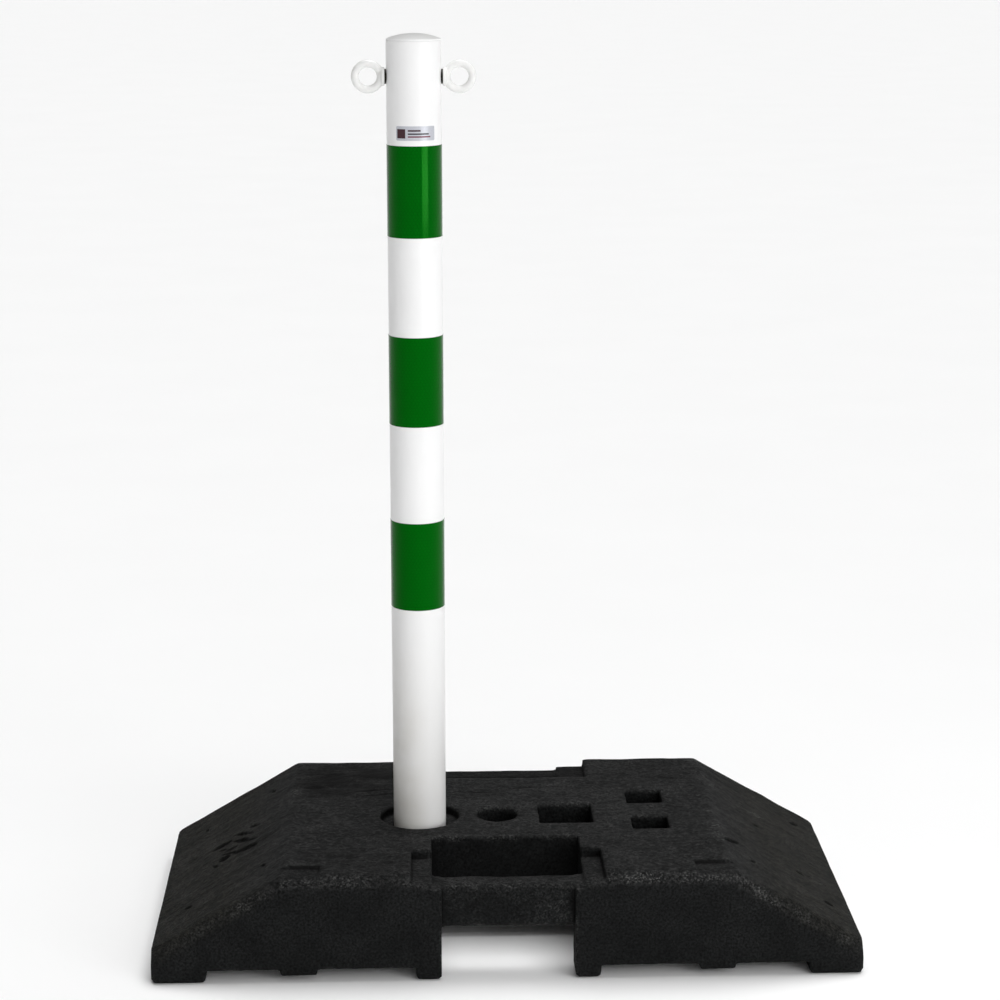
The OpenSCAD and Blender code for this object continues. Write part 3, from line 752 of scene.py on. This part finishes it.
glow = add(tree, "ShaderNodeMix", {0: beads.outputs["Fac"], 6: srgb("#005209"),
                                   7: srgb("#005c0b")}, data_type="RGBA")
faint = add(tree, "ShaderNodeMath", {0: seal.outputs[0], 1: 0.55}, operation="MULTIPLY")
welded = add(tree, "ShaderNodeMix", {0: faint.outputs[0], 6: glow.outputs[2],
                                     7: srgb("#004707")}, data_type="RGBA")
pressed = add(tree, "ShaderNodeBump", {"Height": seal.outputs[0], "Strength": 0.12,
                                       "Distance": 0.00008}, invert=True)
clear = add(tree, "ShaderNodeBsdfPrincipled", {"Base Color": welded.outputs[2],
                                               "Roughness": 0.09,
                                               "Specular IOR Level": 0.12,
                                               "Specular Tint": srgb("#58ff58"),
                                               "Normal": pressed.outputs["Normal"]})
add(tree, "ShaderNodeOutputMaterial", {"Surface": clear.outputs["BSDF"]})

# The film stands 0.03 mm off the coat, the thickness of its glue.
bevel, glue = 0.0001, 0.00003
inner = np.full(len(film_turns), tube_radius + glue) + film_lift
outer = inner + film_thickness
for place_name in ("top", "middle", "bottom"):
    low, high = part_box("reflective_band_" + place_name)
    outline = [(inner, low[2]), (outer - bevel, low[2]), (outer, low[2] + bevel),
               (outer, high[2] - bevel), (outer - bevel, high[2]), (inner, high[2])]
    section = np.stack([np.stack([r, np.full(len(r), z)], axis=-1) for r, z in outline], axis=1)
    band = wrapped("reflective_band_" + place_name + "_film", film_turns, section)
    band.data.materials.append(green_film)
    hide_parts("reflective_band_" + place_name)
    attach(band, "post")


# ---------------------------------------------------------------------------
# Label. A small silver polyester sticker above the top band. Only its layout is
# kept: a plain coloured block on the left and bars where lines would stand.
# ---------------------------------------------------------------------------
# It covers 86 degrees of the tube's front, a little right of the middle, with its corners
# rounded to 1.2 mm.
label_low, label_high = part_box("maker_label")
label_half = (label_high[2] - label_low[2]) / 2
label_z = (label_high[2] + label_low[2]) / 2
label_middle, label_sweep = math.radians(-87), math.radians(86)
label_turns = label_middle + np.linspace(-0.5, 0.5, 61) * label_sweep
label_run = (label_turns - label_turns[0]) * tube_radius
from_end = np.minimum(label_run, label_run[-1] - label_run)
corner = 0.0012
cut = corner - np.sqrt(corner ** 2 - np.clip(corner - from_end, 0, corner) ** 2)
label_in = np.full(len(label_turns), tube_radius + 0.00004)
label_out = label_in + 0.00016
section = np.stack([np.stack([r, label_z + sign * (label_half - cut)], axis=-1)
                    for r, sign in ((label_in, -1), (label_out, -1), (label_out, 1),
                                    (label_in, 1))], axis=1)
maker_label = wrapped("maker_label_sticker", label_turns, section)

# Silvered polyester: a soft metallic grey with ink printed on it.
sticker, tree = empty_material("silver_polyester_sticker")
uv = add(tree, "ShaderNodeUVMap", uv_map="millimetres").outputs["UV"]
at = add(tree, "ShaderNodeSeparateXYZ", {"Vector": uv})


def inked(tree, at, left, right, low, high):
    """1 inside a printed rectangle with these sides in millimetres, 0 outside."""
    result = None
    for axis, value, kind in (("X", left, "GREATER_THAN"), ("X", right, "LESS_THAN"),
                              ("Y", low, "GREATER_THAN"), ("Y", high, "LESS_THAN")):
        test = add(tree, "ShaderNodeMath", {0: at.outputs[axis], 1: value}, operation=kind)
        if result is None:
            result = test.outputs[0]
        else:
            result = add(tree, "ShaderNodeMath", {0: result, 1: test.outputs[0]},
                         operation="MULTIPLY").outputs[0]
    return result


brushed = add(tree, "ShaderNodeTexNoise", {"Vector": uv, "Scale": 0.6, "Detail": 2.0})
silver = add(tree, "ShaderNodeMix", {0: brushed.outputs["Fac"], 6: srgb("#b0b2bb"),
                                     7: srgb("#c6c8cf")}, data_type="RGBA")
printed = silver.outputs[2]
# Each mark's left, right, lower and upper side in millimetres, and its ink.
for left, right, low, high, ink in (
        (1.4, 11.2, 2.4, 12.4, "#360a18"), (14.0, 28.0, 9.8, 11.6, "#3c1a26"),
        (14.0, 37.5, 6.4, 8.0, "#202126"), (14.0, 39.5, 3.4, 4.9, "#6a2238")):
    mark = add(tree, "ShaderNodeMix", {0: inked(tree, at, left, right, low, high), 6: printed,
                                       7: srgb(ink)}, data_type="RGBA")
    printed = mark.outputs[2]
foil = add(tree, "ShaderNodeBsdfPrincipled", {"Base Color": printed, "Roughness": 0.34,
                                              "Metallic": 0.15})
add(tree, "ShaderNodeOutputMaterial", {"Surface": foil.outputs["BSDF"]})
maker_label.data.materials.append(sticker)
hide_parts("maker_label")
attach(maker_label, "post")


# ---------------------------------------------------------------------------
# Ring bolts. Drop-forged M8 ring bolts, the ring and its collar one piece with a
# filleted neck, coated white like the post; each is screwed into a rivet nut.
# ---------------------------------------------------------------------------
wire, ring_mean, collar_r, collar_thick = 0.0042, 0.014, 0.0101, 0.0034
ring_z = (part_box("ring_bolt_right")[0][2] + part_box("ring_bolt_right")[1][2]) / 2


def forged_ring(name, side):
    """A torus of wire radius w about a circle of radius R, facing front, and a collar turned
    about the bolt's own axis, grown together by an even remesh and relaxed at the neck."""
    low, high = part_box("ring_bolt_right" if side > 0 else "ring_bolt_left")
    reach = (high[0] - post_x) if side > 0 else (post_x - low[0])
    # The ring's outside ends where its box does, for a finished wire radius of 4 mm
    finished_wire = 0.004
    centre = reach - ring_mean - finished_wire
    a, b = np.meshgrid(np.linspace(0, 2 * math.pi, 96, endpoint=False),
                       np.linspace(0, 2 * math.pi, 33), indexing="ij")
    band = ring_mean + wire * np.cos(b)
    torus = np.stack([centre + band * np.cos(a), 0.94 * wire * np.sin(b), band * np.sin(a)],
                     axis=-1)
    torus = np.concatenate([torus, torus[:1]])
    # The collar's back stands 1.6 mm off the tube, on the rivet nut's flange
    back = tube_radius + 0.0016
    # The bolt's outline as radius and distance from the post's axis, shank end to neck
    profile = np.array([
        (0, back - 0.0128), (0.0033, back - 0.0128), (0.0039, back - 0.0122), (0.0039, back),
        (collar_r - 0.0008, back), (collar_r, back + 0.0007),
        (collar_r, back + collar_thick - 0.0011), (collar_r - 0.0011, back + collar_thick),
        (0.0072, back + collar_thick + 0.0006), (0.0058, back + collar_thick + 0.0016),
        (0.0048, back + collar_thick + 0.0036), (0, back + collar_thick + 0.0040)])
    t = np.linspace(0, 2 * math.pi, 65)
    lathe = np.stack([np.broadcast_to(profile[:, 1:], (len(profile), 65)),
                      profile[:, :1] * np.cos(t), profile[:, :1] * np.sin(t)], axis=-1)
    quads = np.concatenate([grid_quads(*torus.shape[:2], False).reshape(-1, 4),
                            grid_quads(*lathe.shape[:2], False).reshape(-1, 4)
                            + torus.shape[0] * torus.shape[1]])
    rough = bpy.data.meshes.new(name)
    rough.from_pydata(np.concatenate([torus.reshape(-1, 3), lathe.reshape(-1, 3)]).tolist(),
                      [], quads.tolist())
    shell = bmesh.new()
    shell.from_mesh(rough)
    bmesh.ops.remove_doubles(shell, verts=shell.verts, dist=1e-7)
    bmesh.ops.dissolve_degenerate(shell, edges=shell.edges, dist=1e-8)
    bmesh.ops.recalc_face_normals(shell, faces=shell.faces)
    shell.to_mesh(rough)
    shell.free()
    mesh = remeshed(rough, mode="VOXEL", voxel_size=0.00042)
    points, edges = read_points(mesh)
    points = relaxed(points, edges, 3, 0.5)
    neck = 1 - smooth_step(np.abs(points[:, 0] - back - collar_thick - 0.001), 0.001, 0.0035)
    points = points + neck[:, None] * (relaxed(points, edges, 25, 0.5) - points)
    points[:, 0] = post_x + side * points[:, 0]
    points[:, 1] *= side
    points[:, 2] += ring_z
    mesh.vertices.foreach_set("co", points.ravel())
    shaded(mesh)
    mesh.update()
    return placed(name, mesh)


# The same polyester coat, laid thicker on the rough forging: rounder and glossier. Its
# white is a little greyer than the tube's, as painted shade.
ring_coat, tree = empty_material("white_coat_on_forging")
place = add(tree, "ShaderNodeTexCoord").outputs["Object"]
lump = add(tree, "ShaderNodeTexNoise", {"Vector": place, "Scale": 280.0, "Detail": 2.0})
shaded_white = add(tree, "ShaderNodeMix", {0: lump.outputs["Fac"], 6: srgb("#e4e4e2"),
                                   7: srgb("#ebebea")}, data_type="RGBA")
thick = add(tree, "ShaderNodeBump", {"Height": lump.outputs["Fac"], "Strength": 0.3,
                                     "Distance": 0.0003})
glossy = add(tree, "ShaderNodeBsdfPrincipled", {"Base Color": shaded_white.outputs[2],
                                                "Roughness": 0.25,
                                                "Normal": thick.outputs["Normal"]})
add(tree, "ShaderNodeOutputMaterial", {"Surface": glossy.outputs["BSDF"]})
for side, side_name in ((1, "right"), (-1, "left")):
    ring_bolt = forged_ring("ring_bolt_" + side_name + "_forged", side)
    ring_bolt.data.materials.append(ring_coat)
    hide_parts("ring_bolt_" + side_name)
    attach(ring_bolt, "post")

# Rivet nuts. Black-passivated zinc on steel, upset behind the tube's wall; only the
# flange shows, as a dark line between the tube and the white collar.
zinc, tree = empty_material("black_passivated_zinc")
place = add(tree, "ShaderNodeTexCoord").outputs["Object"]
spangle = add(tree, "ShaderNodeTexNoise", {"Vector": place, "Scale": 900.0, "Detail": 4.0})
patina = add(tree, "ShaderNodeMix", {0: spangle.outputs["Fac"], 6: srgb("#1c1b19"),
                                     7: srgb("#33312c")}, data_type="RGBA")
zinc_coat = add(tree, "ShaderNodeBsdfPrincipled", {"Base Color": patina.outputs[2],
                                                   "Metallic": 1.0, "Roughness": 0.5})
add(tree, "ShaderNodeOutputMaterial", {"Surface": zinc_coat.outputs["BSDF"]})
for side_name in ("left", "right"):
    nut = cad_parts["rivet_nut_" + side_name]
    nut.data.materials.clear()
    nut.data.materials.append(zinc)
